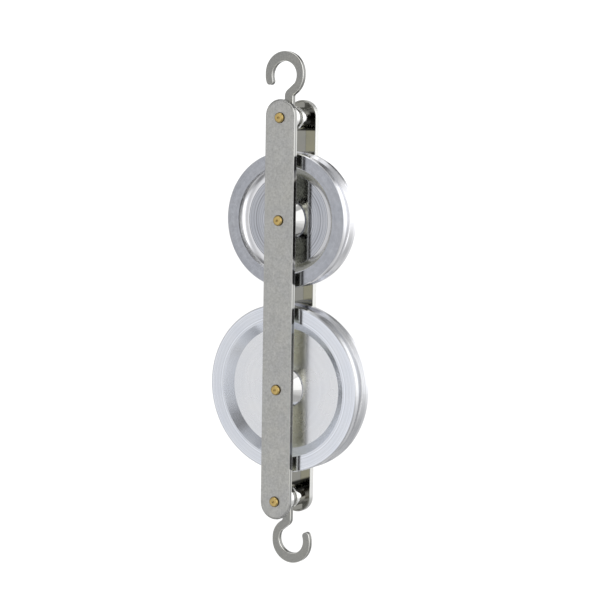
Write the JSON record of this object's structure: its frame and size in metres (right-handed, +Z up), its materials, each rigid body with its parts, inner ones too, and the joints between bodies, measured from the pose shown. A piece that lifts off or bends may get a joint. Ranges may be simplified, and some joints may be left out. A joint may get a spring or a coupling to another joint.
{
  "type": "in-line pulley block",
  "caption": "In-line pulley block for demonstrating mechanical advantage: a smaller and a larger grooved sheave between parallel side plates, with a pivoting flat hook at each end.",
  "frame": {"origin": "saddle of the top hook, where a ring or nail bears, in the middle plane between the side plates", "axes": "+Z up along the plates towards the top hook, +X to the right across the plates, +Y away from the front plate along the pins"},
  "size_m": [0.05, 0.0162, 0.1521],
  "materials": {
    "plate_steel": "fine-blasted plated steel, satin, brighter on the edges",
    "hook_steel": "fine-blasted plated steel, satin",
    "pin_brass": "turned brass, satin",
    "small_sheave_aluminium": "turned aluminium with fine concentric lines, cool grey",
    "large_sheave_aluminium": "fine turned aluminium, satin, light",
    "spacer_bright": "bright turned steel",
    "bush_brass": "turned bearing brass"
  },
  "bodies": {
    "top_hook": {"top_hook": "hook_steel"},
    "frame": {"front_plate": "plate_steel", "rear_plate": "plate_steel", "top_pin": "pin_brass", "small_axle": "pin_brass", "large_axle": "pin_brass", "bottom_pin": "pin_brass", "small_bush": "bush_brass", "large_bush": "bush_brass", "small_front_spacer": "spacer_bright", "small_rear_spacer": "spacer_bright", "large_front_spacer": "spacer_bright", "large_rear_spacer": "spacer_bright", "top_front_spacer": "spacer_bright", "top_rear_spacer": "spacer_bright", "bottom_front_spacer": "spacer_bright", "bottom_rear_spacer": "spacer_bright"},
    "small_sheave": {"small_sheave": "small_sheave_aluminium"},
    "large_sheave": {"large_sheave": "large_sheave_aluminium"},
    "bottom_hook": {"bottom_hook": "hook_steel"}
  },
  "joints": [
    {"name": "frame_swing", "type": "hinge", "parent": "top_hook", "child": "frame", "pos_m": [0.00228, 0, -0.01655], "axis": [0, 1, 0], "range_deg": [-125, 105]},
    {"name": "small_sheave_spin", "type": "hinge", "parent": "frame", "child": "small_sheave", "pos_m": [0.00228, 0, -0.04635], "axis": [0, 1, 0], "continuous": true},
    {"name": "large_sheave_spin", "type": "hinge", "parent": "frame", "child": "large_sheave", "pos_m": [0.00228, 0, -0.09625], "axis": [0, 1, 0], "continuous": true},
    {"name": "bottom_hook_swing", "type": "hinge", "parent": "frame", "child": "bottom_hook", "pos_m": [0.00228, 0, -0.12975], "axis": [0, 1, 0], "range_deg": [-95, 115]}
  ]
}
